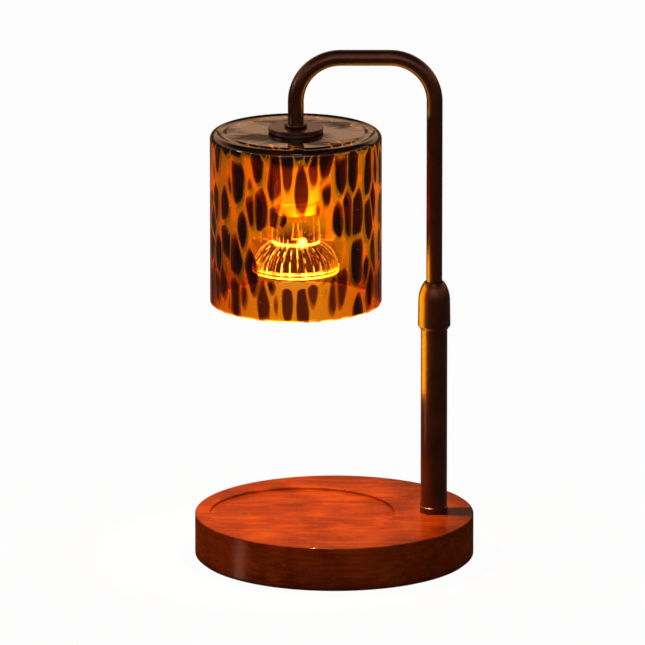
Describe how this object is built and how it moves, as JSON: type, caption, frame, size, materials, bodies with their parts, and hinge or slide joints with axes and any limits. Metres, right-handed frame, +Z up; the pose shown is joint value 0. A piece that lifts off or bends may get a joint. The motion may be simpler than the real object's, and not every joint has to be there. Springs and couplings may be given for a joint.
{
  "type": "candle warmer lamp",
  "caption": "Candle warmer lamp: round wooden base with a jar seat, telescopic gooseneck pole with lock collar, glass drum shade and twist-lock reflector bulb.",
  "frame": {"origin": "centre of the round base on the surface that it stands on", "axes": "+Z up; the pole stands to the right of the origin at +X and the shade hangs to the left of it; -Y is the front"},
  "size_m": [0.163, 0.163, 0.3034],
  "materials": {
    "stained_wood": "red-brown stain under satin lacquer",
    "black_rubber": "matte",
    "dark_bronze": "oil-rubbed bronze lacquer, satin",
    "zinc_steel": "zinc plated",
    "brass": "turned",
    "nylon": "moulded",
    "silicone": "translucent white silicone",
    "amber_glass": "amber glass with dark brown spots, glossy",
    "white_ceramic": "white glaze",
    "bronze_contact": "phosphor bronze strip",
    "nickel_pin": "nickel plated",
    "clear_glass": "clear pressed glass",
    "tungsten": "glowing tungsten wire"
  },
  "bodies": {
    "base": {"base_block": "stained_wood", "anti_slip_pad": "black_rubber", "cord_grommet": "black_rubber", "foot_ferrule": "dark_bronze", "foot_nipple": "zinc_steel", "foot_washer": "zinc_steel", "foot_nut": "zinc_steel", "outer_tube": "dark_bronze", "guide_bush": "brass"},
    "collar": {"lock_collar": "dark_bronze"},
    "sleeve": {"clamp_sleeve": "nylon"},
    "arm": {"arm_tube": "dark_bronze", "slide_bush": "nylon", "stem_bead": "dark_bronze", "hanger_nipple": "zinc_steel", "shade_disc": "dark_bronze", "upper_gasket": "silicone", "shade_glass": "amber_glass", "lower_gasket": "silicone", "shade_washer": "zinc_steel", "shade_nut": "zinc_steel", "holder_cap": "zinc_steel", "holder_screws": "zinc_steel", "lamp_holder": "white_ceramic", "contact_left": "bronze_contact", "contact_right": "bronze_contact"},
    "bulb": {"bulb_base": "white_ceramic", "bulb_pins": "nickel_pin", "bulb_reflector": "clear_glass", "bulb_lens": "clear_glass", "bulb_capsule": "clear_glass", "bulb_filament": "tungsten"}
  },
  "joints": [
    {"name": "collar_turn", "type": "hinge", "parent": "base", "child": "collar", "pos_m": [0.0582, 0, 0.15], "axis": [0, 0, 1], "range_deg": [0, 120]},
    {"name": "arm_swivel", "type": "hinge", "parent": "base", "child": "sleeve", "pos_m": [0.0582, 0, 0.158], "axis": [0, 0, 1], "range_deg": [-90, 90]},
    {"name": "arm_height", "type": "slide", "parent": "sleeve", "child": "arm", "axis": [0, 0, 1], "range_m": [-0.045, 0.035]},
    {"name": "bulb_twist", "type": "hinge", "parent": "arm", "child": "bulb", "pos_m": [-0.0224, 0, 0.2134], "axis": [0, 0, -1], "range_deg": [0, 25]}
  ]
}
